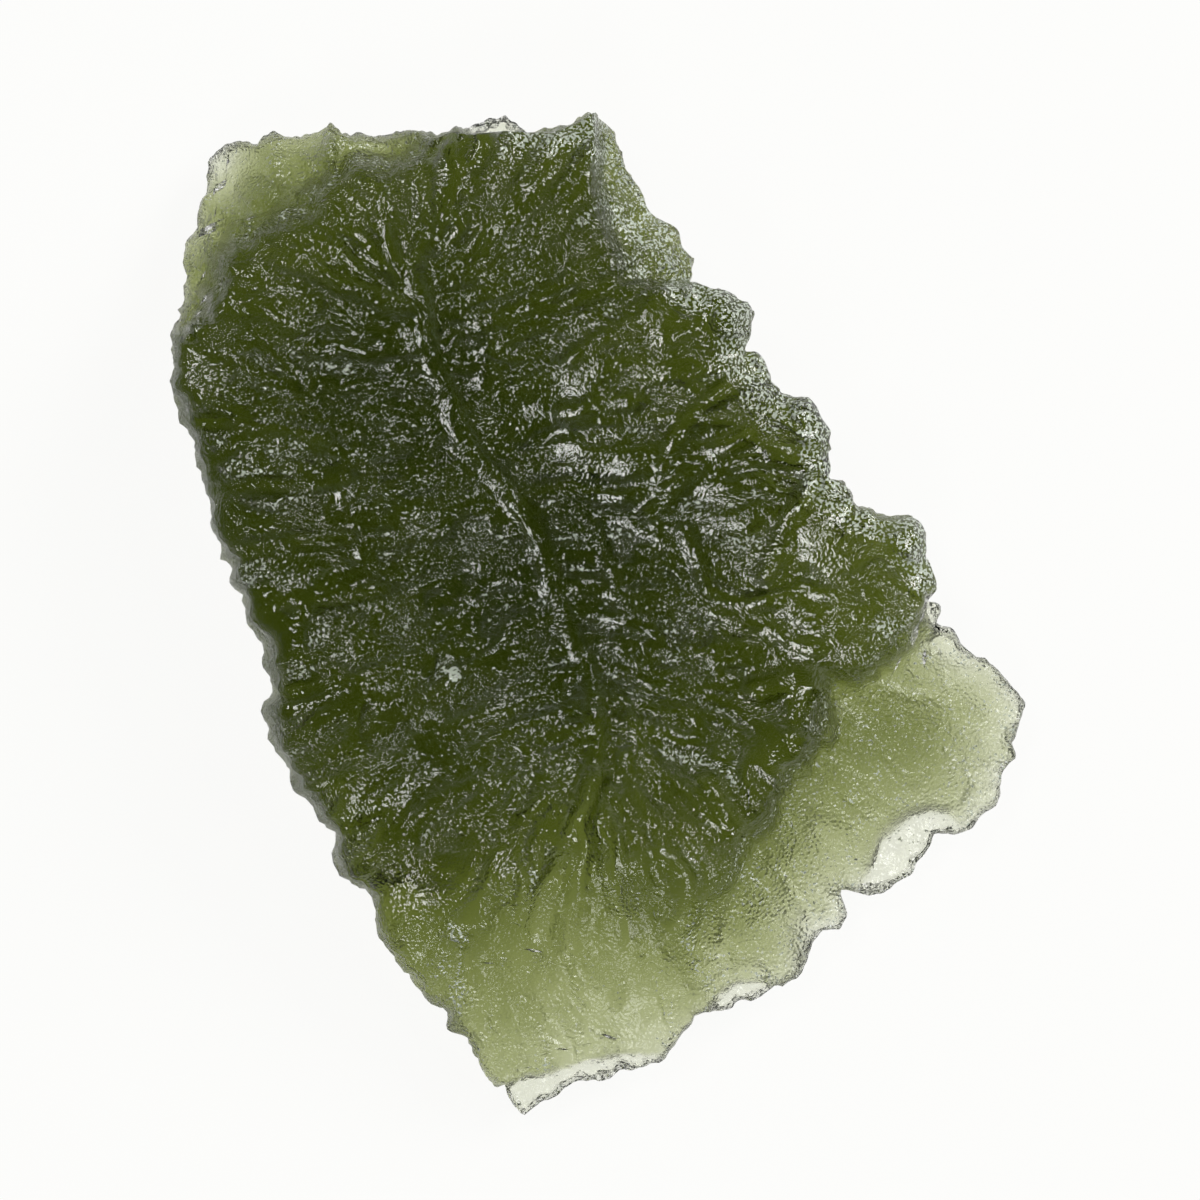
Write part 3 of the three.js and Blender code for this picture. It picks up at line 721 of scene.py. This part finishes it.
        # Painted glints: pale specks over the crumpled upper right edge.
        glint_and_grit = np.maximum(glint_and_grit, self.crumple_glint_veil * smooth(1.6 * crumple))
        for piece in self.breaks:
            broken = piece.share(x, y)
            shelf, speck_share = piece.shelf(x, y, edge)
            height = mix(height, np.minimum(height, shelf), broken)
            glint_and_grit = mix(glint_and_grit, speck_share, broken)
            calm = np.minimum(calm, mix(1, piece.etched, broken))
            frost = mix(frost, piece.frost, broken)
            rim = 1 + 0.8 * np.exp(-edge / 0.8)
            plateau = mix(plateau, np.minimum(1, 0.3 + plateau) * piece.grain * rim, broken)
            if piece.glint_veil:
                lip = 4 * broken * (1 - broken)
                # Painted glints: pale specks along the break's lip.
                glint_and_grit = np.maximum(glint_and_grit, self.lip_glint_veil * lip)
                plateau = plateau + self.lip_grain * lip
        lumps = noise(x / self.lump_size, y / self.lump_size, 11) * self.lump_height
        dimples = np.abs(noise(x / self.dimple_size, y / self.dimple_size, 12)) * self.dimple_depth
        scallops = np.abs(noise(x / self.scallop_size, y / self.scallop_size, 13))
        relief = cut + dimples - lumps + scallops * self.scallop_depth * plateau
        gentle = mix(self.thin_relief, 1, smooth((height - floor - 1) / 4))
        height = height - calm * gentle * relief
        for px, py, radius, depth in self.pits:
            height = height - depth * np.exp(-((x - px) ** 2 + (y - py) ** 2) / radius**2)
        rounding = np.minimum(self.edge_rounding, 0.3 * np.maximum(0, height - floor))
        height = height - rounding * np.exp(-edge / self.edge_reach)
        # Marks: a pale grain of sediment, and two painted glint clusters.
        for mx, my, wide, long, share in self.marks:
            bell = np.exp(-((((x - mx) / wide) ** 2 + ((y - my) / long) ** 2) ** 3))
            glint_and_grit = np.maximum(glint_and_grit, share * bell)
            plateau = plateau * (1 - bell)
        return np.maximum(height, floor + self.thinnest), plateau, frost, glint_and_grit


@dataclass
class Back:
    """The unseen back: a low dome, etched like the face, that rests on flat spots rubbed down by
    wear.
    """

    clearance: float = 0.42
    edge_lift: float = 0.8
    edge_reach: float = 2.2
    feet: tuple = (
        (-7.6, 8.2, 2.6), (-1.4, 0.4, 3.0), (3.8, 4.2, 2.4), (-5.6, -6.2, 2.5), (3.4, -8.0, 2.5),
    )  # fmt: skip
    foot_depth: float = 1.2
    net: Net = Net(seed=60, per_radian=7.0, per_reach=2.0, depth=0.15, width=0.45)
    lump_height: float = 0.32
    lump_size: float = 2.4
    dimple_depth: float = 0.16
    dimple_size: float = 1.6

    def surface(self, x: Array, y: Array, edge: Array) -> tuple[Array, Array]:
        """Works out the back over a grid of places.

        height = a clearance, plus a lift that fades in from the edge, plus channels and
        dimples, less lumps and a bell at each foot, and never below the ground.

        Args:
            x: Places across.
            y: Places along.
            edge: The distance to the outline.

        Returns:
            The heights and the plateau share.
        """
        bell = np.exp(-((self.net.distance(x, y) / self.net.width) ** 2))
        lumps = noise(x / self.lump_size, y / self.lump_size, 61) * self.lump_height
        dimples = np.abs(noise(x / self.dimple_size, y / self.dimple_size, 62)) * self.dimple_depth
        height = self.clearance + self.edge_lift * np.exp(-edge / self.edge_reach)
        height = height + self.net.depth * bell - lumps + dimples
        for fx, fy, radius in self.feet:
            height = height - self.foot_depth * np.exp(-((x - fx) ** 2 + (y - fy) ** 2) / radius**2)
        return np.maximum(0, height), 0.4 - 0.3 * bell


# The skin.


@dataclass
class Sheet:
    """A grid stretched over a rim, with what the material reads at each point."""

    places: Array
    plateau: Array
    frost: Array
    # Share of pale specks: painted glints, and on the face one grain of sediment.
    glint_and_grit: Array


@dataclass
class Stone:
    """The whole stone: face sheet, back sheet and wall, as one closed mesh."""

    outline: Outline = field(default_factory=Outline)
    face: Face = field(default_factory=Face)
    back: Back = field(default_factory=Back)
    across: int = 184
    along: int = 235
    wall_bands: int = 12
    face_draw_in: float = 0.34
    back_draw_in: float = 0.3
    lean: float = 0.75
    wall_roughness: float = 0.3
    wall_plateau: float = 1.5
    # Painted glints: the share of pale specks on the wall.
    wall_glint_specks: float = 0.36
    frost: float = 0.9
    # Painted glints: pale specks on the back, in proportion to its plateau share.
    back_glint_specks: float = 0.85
    chord: int = 9

    def rim(self, ring: Array, distance: float, seed: float, lean: float = 0.0) -> Array:
        """Draws the outline in by a distance that wanders a little along it.

        With a lean, the walls that face left are drawn in more, and those that face right
        less: distance x (1 + lean x the inward direction's x).

        Args:
            ring: The outline's points.
            distance: How far to draw in, on average.
            seed: Which noise the wandering follows.
            lean: How much the drawing in depends on the side.

        Returns:
            The rim's points.
        """
        x, y = ring.T
        wander = 0.8 * noise(x * 0.45, y * 0.45, seed) + 0.9 * noise(x * 1.7, y * 1.7, seed + 2)
        into = self.outline.inward(ring, self.chord)
        pull = distance * np.maximum(0.3, 1 + wander) * (1 + lean * into[:, 0])
        soft = (np.roll(ring, 1, axis=0) + 2 * ring + np.roll(ring, -1, axis=0)) / 4
        return soft + into * pull[:, None]

    def stretch(self, rim: Array) -> tuple[Array, Array]:
        """Stretches a grid over a rim by blending its facing sides.

        Each pair of facing sides is blended across, and the blend of the four corners, which
        both pairs count, is taken off once.

        Args:
            rim: The rim's points, clockwise from the top left corner.

        Returns:
            The grid's x and y, one row for each step along the stone.
        """
        turn = self.across + self.along
        top = rim[: self.across + 1]
        right = rim[self.across : turn + 1]
        bottom = rim[turn : turn + self.across + 1][::-1]
        left = np.concatenate([rim[turn + self.across :], rim[:1]])[::-1]
        u = np.linspace(0, 1, self.across + 1)[None, :, None]
        v = np.linspace(0, 1, self.along + 1)[:, None, None]
        sides = mix(top[None], bottom[None], v) + mix(left[:, None], right[:, None], u)
        corners = mix(mix(top[0], top[-1], u), mix(bottom[0], bottom[-1], u), v)
        grid = sides - corners
        return grid[..., 0], grid[..., 1]

    def sheets(self, ring: Array) -> tuple[Sheet, Sheet]:
        """Works out the face and back sheets over their drawn-in rims.

        Args:
            ring: The outline's points.

        Returns:
            The face sheet and the back sheet.
        """
        x, y = self.stretch(self.rim(ring, self.face_draw_in, 3, self.lean))
        edge = distance_to(ring[::2], x, y, True)
        floor, _ = self.back.surface(x, y, edge)
        z, plateau, frost, glint_and_grit = self.face.surface(x, y, edge, floor)
        face = Sheet(np.stack([x, y, z], axis=-1), plateau, frost, glint_and_grit)
        x, y = self.stretch(self.rim(ring, self.back_draw_in, 4))
        edge = distance_to(ring[::2], x, y, True)
        z, plateau = self.back.surface(x, y, edge)
        frost, glint_and_grit = np.full(np.shape(x), self.frost), self.back_glint_specks * plateau
        back = Sheet(np.stack([x, y, z], axis=-1), plateau, frost, glint_and_grit)
        return face, back

    def rim_indices(self) -> Array:
        """Finds a sheet's rim points.

        Returns:
            Their indices in the sheet's own grid, in the outline's order.
        """
        grid = np.arange((self.along + 1) * (self.across + 1))
        grid = grid.reshape(self.along + 1, self.across + 1)
        return np.concatenate([grid[0, :-1], grid[:-1, -1], grid[-1, :0:-1], grid[:0:-1, 0]])

    def wall(self, ring: Array, upper: Array, lower: Array) -> Array:
        """Works out the bands of the wall between the two rims.

        A point goes straight from rim to rim, pushed out to the outline by sin(pi t) and
        back in by a dent of noise that is stretched up the wall.

        Args:
            ring: The outline's points.
            upper: The face's rim points.
            lower: The back's rim points.

        Returns:
            An array of bands x points x 3, without the two rims.
        """
        t = (np.arange(1, self.wall_bands) / self.wall_bands)[:, None]
        bulge = np.sin(np.pi * t)
        straight = mix(upper[None], lower[None], t[..., None])
        x, y, z = ring[:, 0][None], ring[:, 1][None], straight[..., 2]
        rough = np.minimum(self.wall_roughness, 0.2 * (upper[:, 2] - lower[:, 2]))[None]
        dent = 0.35 + noise((x + y) * 0.8, (y - x) * 0.8 + z * 0.9, 33)
        dent = dent + 0.45 * noise((x - y) * 2.1, (x + y) * 2.1 + z * 1.3, 34)
        dent = dent + 0.35 * noise((x - y) * 3.3 + z, (x + y) * 2.5 - z * 2.2, 35)
        inward = self.outline.inward(ring, self.chord)[None] * (rough * dent * bulge)[..., None]
        place = mix(straight[..., :2], ring[None], bulge[..., None]) + inward
        return np.concatenate([place, z[..., None]], axis=-1)

    def quads(self) -> Array:
        """Lists the corners of every face: the sheets' cells, then the wall's.

        Returns:
            An array of faces x 4 point indices, all turning left as seen from outside.
        """
        columns, rows = self.across + 1, self.along + 1
        grid = np.arange(columns * rows).reshape(rows, columns)
        cell = np.stack([grid[:-1, :-1], grid[1:, :-1], grid[1:, 1:], grid[:-1, 1:]], axis=-1)
        face = cell.reshape(-1, 4)
        back = face[:, ::-1] + grid.size
        rim = self.rim_indices()
        first = 2 * grid.size
        between = first + np.arange((self.wall_bands - 1) * rim.size).reshape(-1, rim.size)
        bands = np.concatenate([rim[None], between, rim[None] + grid.size])
        beside = np.roll(bands, -1, axis=1)
        wall = np.stack([bands[:-1], beside[:-1], beside[1:], bands[1:]], axis=-1)
        return np.concatenate([face, back, wall.reshape(-1, 4)])

    def build(self, low: Vector, high: Vector) -> bpy.types.Object:
        """Builds the stone's mesh inside the CAD model's box.

        Args:
            low: The box's lowest corner, in metres.
            high: The box's highest corner, in metres.

        Returns:
            The stone's object, with the plateau, frost and pale speck attributes; the specks
            paint glints, save for one grain of sediment.
        """
        ring = self.outline.ring(self.across, self.along)
        face, back = self.sheets(ring)
        rim = self.rim_indices()
        upper, lower = face.places.reshape(-1, 3)[rim], back.places.reshape(-1, 3)[rim]
        wall = self.wall(ring, upper, lower)
        places = np.concatenate([face.places.reshape(-1, 3), back.places.reshape(-1, 3)])
        places = np.concatenate([places, wall.reshape(-1, 3)])
        start, span = places.min(axis=0), np.ptp(places, axis=0)
        places = np.array(low) + (places - start) / span * (np.array(high) - np.array(low))
        count = wall.shape[0] * wall.shape[1]
        shares = {
            "plateau": (face.plateau, back.plateau, self.wall_plateau),
            "frost": (face.frost, back.frost, self.frost),
            "glint_and_grit": (face.glint_and_grit, back.glint_and_grit, self.wall_glint_specks),
        }
        quads = self.quads()

        mesh = bpy.data.meshes.new("stone")
        mesh.vertices.add(len(places))
        mesh.vertices.foreach_set("co", places.astype(np.float32).ravel())
        mesh.loops.add(quads.size)
        mesh.loops.foreach_set("vertex_index", quads.astype(np.int32).ravel())
        mesh.polygons.add(len(quads))
        mesh.polygons.foreach_set("loop_start", np.arange(0, quads.size, 4, dtype=np.int32))
        mesh.polygons.foreach_set("use_smooth", np.ones(len(quads), bool))
        for name, (above, below, beside) in shares.items():
            values = np.concatenate([above.ravel(), below.ravel(), np.full(count, beside)])
            attribute = mesh.attributes.new(name, "FLOAT", "POINT")
            attribute.data.foreach_set("value", values.astype(np.float32))
        mesh.update(calc_edges=True)
        mesh.validate()
        stone = bpy.data.objects.new("stone", mesh)
        bpy.context.scene.collection.objects.link(stone)
        return stone


# Finishes.


class Nodes:
    """A short way to add and join the nodes of one material."""

    def __init__(self, material: bpy.types.Material) -> None:
        """Clears the material's node tree.

        Args:
            material: The material whose nodes are to be made.
        """
        material.use_nodes = True
        self.tree = material.node_tree
        self.tree.nodes.clear()

    def add(self, kind: str, **inputs: object) -> bpy.types.Node:
        """Adds a node and sets or joins its inputs.

        Args:
            kind: The node's type name.
            **inputs: Input names, with spaces as underscores, each with a number, a colour or
                an output socket to join.

        Returns:
            The node.
        """
        node = self.tree.nodes.new(kind)
        for name, value in inputs.items():
            key = int(name[1:]) if name[0] == "_" else name.replace("_", " ")
            if isinstance(value, bpy.types.NodeSocket):
                self.tree.links.new(value, node.inputs[key])
            else:
                node.inputs[key].default_value = value
        return node

    def attribute(self, name: str) -> bpy.types.NodeSocket:
        """Adds a node that reads one of the mesh's attributes.

        Args:
            name: The attribute's name.

        Returns:
            The socket that gives its value.
        """
        node = self.add("ShaderNodeAttribute")
        node.attribute_name = name
        return node.outputs["Fac"]

    def math(self, what: str, first: object, second: object = 0.0) -> bpy.types.NodeSocket:
        """Adds a Math node.

        Args:
            what: The operation's name.
            first: The first number, or an output socket to join.
            second: The second number, or an output socket to join.

        Returns:
            The node's output socket.
        """
        node = self.add("ShaderNodeMath", _0=first, _1=second)
        node.operation = what
        return node.outputs[0]


@dataclass(frozen=True)
class Ripple:
    """One size of fine waves on the glass, and the least share of them in the channels."""

    size: float
    height: float
    detail: float
    least: float


@dataclass(frozen=True)
class MoldaviteGlass:
    """Etched bottle-green natural glass: clear, absorbing, with fine waves on its plateaus."""

    ior: float = 1.49
    absorption_color: tuple[float, float, float, float] = (0.50, 0.55, 0.15, 1.0)
    absorption_density: float = 1150.0
    channel_roughness: float = 0.08
    plateau_roughness: float = 0.1
    frost_roughness: float = 0.2
    # Colour of the pale specks, which paint glints, save for one grain of sediment.
    glint_and_grit_color: tuple[float, float, float, float] = (0.32, 0.36, 0.29, 1.0)
    fine: Ripple = Ripple(size=0.115, height=0.08, detail=0.0, least=0.13)
    middle: Ripple = Ripple(size=0.42, height=0.06, detail=1.0, least=0.25)
    speck_size: float = 0.11
    speck_blur: float = 0.06

    def material(self) -> bpy.types.Material:
        """Makes the material: transmission, absorption, and waves from object coordinates.

        Pale opaque specks, which paint glints save for one grain of sediment, are where noise plus
        the speck share passes 1, and they turn from clear to opaque over the speck blur. The share
        of waves is the plateau share to the power 1.5.

        Returns:
            The material.
        """
        material = bpy.data.materials.new("moldavite_glass")
        nodes = Nodes(material)
        metres = nodes.add("ShaderNodeTexCoord").outputs["Object"]
        per_metre = (1 / MM, 1 / MM, 1 / MM)
        place = nodes.add("ShaderNodeMapping", Vector=metres, Scale=per_metre).outputs[0]
        plateau = nodes.attribute("plateau")
        frost = nodes.attribute("frost")
        glint_and_grit = nodes.attribute("glint_and_grit")
        # Painted glints: pale opaque specks where noise plus the speck attribute passes 1.
        speck_noise = nodes.add("ShaderNodeTexNoise", Vector=place, Scale=1 / self.speck_size, Detail=1.0)
        speck_share = nodes.math("ADD", speck_noise.outputs["Fac"], glint_and_grit)
        speck = nodes.math("DIVIDE", nodes.math("SUBTRACT", speck_share, 1.0), self.speck_blur)
        speck.node.use_clamp = True
        clear = nodes.math("SUBTRACT", 1.0, speck)
        white = (1.0, 1.0, 1.0, 1.0)
        tint = nodes.add("ShaderNodeMix", Factor=speck, _6=white, _7=self.glint_and_grit_color)
        tint.data_type = "RGBA"
        share = nodes.math("POWER", plateau, 1.5)

        def waves(ripple: Ripple, under: bpy.types.NodeSocket | None) -> bpy.types.NodeSocket:
            """Adds one size of waves: height = noise x (least + (1 - least) x plateau share).

            Args:
                ripple: The size of the waves.
                under: The normal of the waves under these, if there are any.

            Returns:
                The normal of both together.
            """
            wave = nodes.add(
                "ShaderNodeTexNoise", Vector=place, Scale=1 / ripple.size, Detail=ripple.detail,
            )  # fmt: skip
            scale = nodes.math("MULTIPLY_ADD", share, 1 - ripple.least)
            scale.node.inputs[2].default_value = ripple.least
            height = nodes.math("MULTIPLY", wave.outputs["Fac"], scale)
            bump = nodes.add("ShaderNodeBump", Height=height, Distance=ripple.height * MM * 2)
            if under is not None:
                nodes.tree.links.new(under, bump.inputs["Normal"])
            return bump.outputs["Normal"]

        normal = waves(self.fine, waves(self.middle, None))
        base = nodes.math("MULTIPLY_ADD", share, self.plateau_roughness - self.channel_roughness)
        base.node.inputs[2].default_value = self.channel_roughness
        rough = nodes.math("MULTIPLY_ADD", frost, self.frost_roughness)
        nodes.tree.links.new(base, rough.node.inputs[2])
        shader = nodes.add(
            "ShaderNodeBsdfPrincipled",
            Base_Color=tint.outputs[2],
            Roughness=rough,
            IOR=self.ior,
            Transmission_Weight=clear,
            Normal=normal,
        )
        volume = nodes.add(
            "ShaderNodeVolumeAbsorption",
            Color=self.absorption_color,
            Density=self.absorption_density,
        )
        nodes.add(
            "ShaderNodeOutputMaterial",
            Surface=shader.outputs["BSDF"],
            Volume=volume.outputs["Volume"],
        )
        return material


@dataclass(frozen=True)
class FloorFinish:
    """A pale, evenly glowing table top, as on a light table."""

    glow: float = 0.93
    shade: float = 0.04

    def material(self) -> bpy.types.Material:
        """Makes the material: a grey diffuse surface plus an even glow.

        Returns:
            The material.
        """
        material = bpy.data.materials.new("pale_floor")
        nodes = Nodes(material)
        shader = nodes.add(
            "ShaderNodeBsdfPrincipled",
            Base_Color=(self.shade, self.shade, self.shade, 1.0),
            Roughness=0.9,
            Specular_IOR_Level=0.0,
            Emission_Color=(1.0, 1.0, 0.985, 1.0),
            Emission_Strength=self.glow,
        )
        nodes.add("ShaderNodeOutputMaterial", Surface=shader.outputs["BSDF"])
        return material


# The studio.


class Bearing(Enum):
    """The side of the table where a soft light stands, as degrees round from +X."""

    RIGHT = 10
    UPPER_RIGHT = 33
    UPPER_LEFT = 130
    BELOW = 262


@dataclass(frozen=True)
class SoftLight:
    """A square soft light that looks at the stone."""

    bearing: Bearing
    lift_deg: float
    distance: float
    side: float
    radiance: float

    def build(self) -> bpy.types.Object:
        """Builds the light: power = pi x area x radiance, turned towards the origin.

        Returns:
            The light's object.
        """
        lamp = bpy.data.lights.new(f"soft_{self.bearing.name.lower()}", "AREA")
        lamp.shape = "SQUARE"
        lamp.size = self.side
        lamp.energy = math.pi * self.side**2 * self.radiance
        light = bpy.data.objects.new(lamp.name, lamp)
        turn, lift = math.radians(self.bearing.value), math.radians(self.lift_deg)
        level = math.cos(lift)
        away = Vector((math.cos(turn) * level, math.sin(turn) * level, math.sin(lift)))
        light.location = away * self.distance
        light.rotation_euler = away.to_track_quat("Z", "Y").to_euler()
        bpy.context.scene.collection.objects.link(light)
        return light


@dataclass
class Studio:
    """The pale floor, the soft lights, the room's own light and the camera."""

    floor_side: float = 4.0
    floor_gap: float = 0.02
    frame_width: float = 42.4
    frame_centre: tuple[float, float] = (0.025, 0.554)
    focus_height: float = 5.0
    lens: float = 180.0
    sensor: float = 36.0
    zenith: float = 0.03
    horizon: float = 0.35
    fade_from: float = 0.1
    fade_to: float = 0.75
    lights: tuple[SoftLight, ...] = (
        SoftLight(Bearing.UPPER_LEFT, 60, 0.5, 0.13, 13.0),
        SoftLight(Bearing.RIGHT, 57, 0.5, 0.12, 10.0),
        SoftLight(Bearing.BELOW, 50, 0.5, 0.14, 11.0),
        SoftLight(Bearing.UPPER_RIGHT, 34, 0.5, 0.24, 14.5),
    )

    def floor(self) -> bpy.types.Object:
        """Builds the floor, a hair below the stone so that the two don't share a plane.

        Returns:
            The floor's object.
        """
        half, drop = self.floor_side / 2, -self.floor_gap * MM
        plan = ((-half, -half), (half, -half), (half, half), (-half, half))
        mesh = bpy.data.meshes.new("floor")
        mesh.from_pydata([(x, y, drop) for x, y in plan], [], [(0, 1, 2, 3)])
        mesh.materials.append(FloorFinish().material())
        floor = bpy.data.objects.new("floor", mesh)
        bpy.context.scene.collection.objects.link(floor)
        return floor

    def room(self) -> bpy.types.World:
        """Lights the room: bright towards the horizon and dark overhead.

        The strength goes from horizon to zenith by the S-shaped step of the direction's z,
        between fade_from and fade_to.

        Returns:
            The world.
        """
        world = bpy.data.worlds.new("room")
        world.use_nodes = True
        tree = world.node_tree
        tree.nodes.clear()
        place = tree.nodes.new("ShaderNodeTexCoord")
        split = tree.nodes.new("ShaderNodeSeparateXYZ")
        ramp = tree.nodes.new("ShaderNodeMapRange")
        ramp.interpolation_type = "SMOOTHSTEP"
        glow = tree.nodes.new("ShaderNodeBackground")
        out = tree.nodes.new("ShaderNodeOutputWorld")
        tree.links.new(place.outputs["Generated"], split.inputs[0])
        tree.links.new(split.outputs["Z"], ramp.inputs["Value"])
        ramp.inputs["From Min"].default_value = self.fade_from
        ramp.inputs["From Max"].default_value = self.fade_to
        ramp.inputs["To Min"].default_value = self.horizon
        ramp.inputs["To Max"].default_value = self.zenith
        tree.links.new(ramp.outputs[0], glow.inputs["Strength"])
        tree.links.new(glow.outputs[0], out.inputs["Surface"])
        bpy.context.scene.world = world
        return world

    def camera(self) -> bpy.types.Object:
        """Places the camera straight above, so that the frame's width fits at focus height.

        Returns:
            The camera's object.
        """
        data = bpy.data.cameras.new("camera")
        data.lens = self.lens
        data.sensor_width = self.sensor
        data.clip_start = 0.01
        camera = bpy.data.objects.new("camera", data)
        distance = self.frame_width * self.lens / self.sensor
        x, y = self.frame_centre
        camera.location = Vector((x, y, self.focus_height + distance)) * MM
        bpy.context.scene.collection.objects.link(camera)
        bpy.context.scene.camera = camera
        return camera

    def build(self) -> None:
        """Builds the whole studio."""
        self.camera()
        self.floor()
        self.room()
        for light in self.lights:
            light.build()
        scene = bpy.context.scene
        scene.view_settings.view_transform = "Standard"


def main() -> None:
    logging.basicConfig(level=logging.INFO, format="%(name)s: %(message)s")
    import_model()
    low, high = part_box("moldavite")
    stone = Stone().build(low, high)
    stone.data.materials.append(MoldaviteGlass().material())
    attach(stone, "root")
    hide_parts("moldavite")
    log.info("stone: %d faces", len(stone.data.polygons))
    studio = Studio()
    studio.build()
    log.info("studio: %d lights", len(studio.lights))


if __name__ == "__main__":
    main()
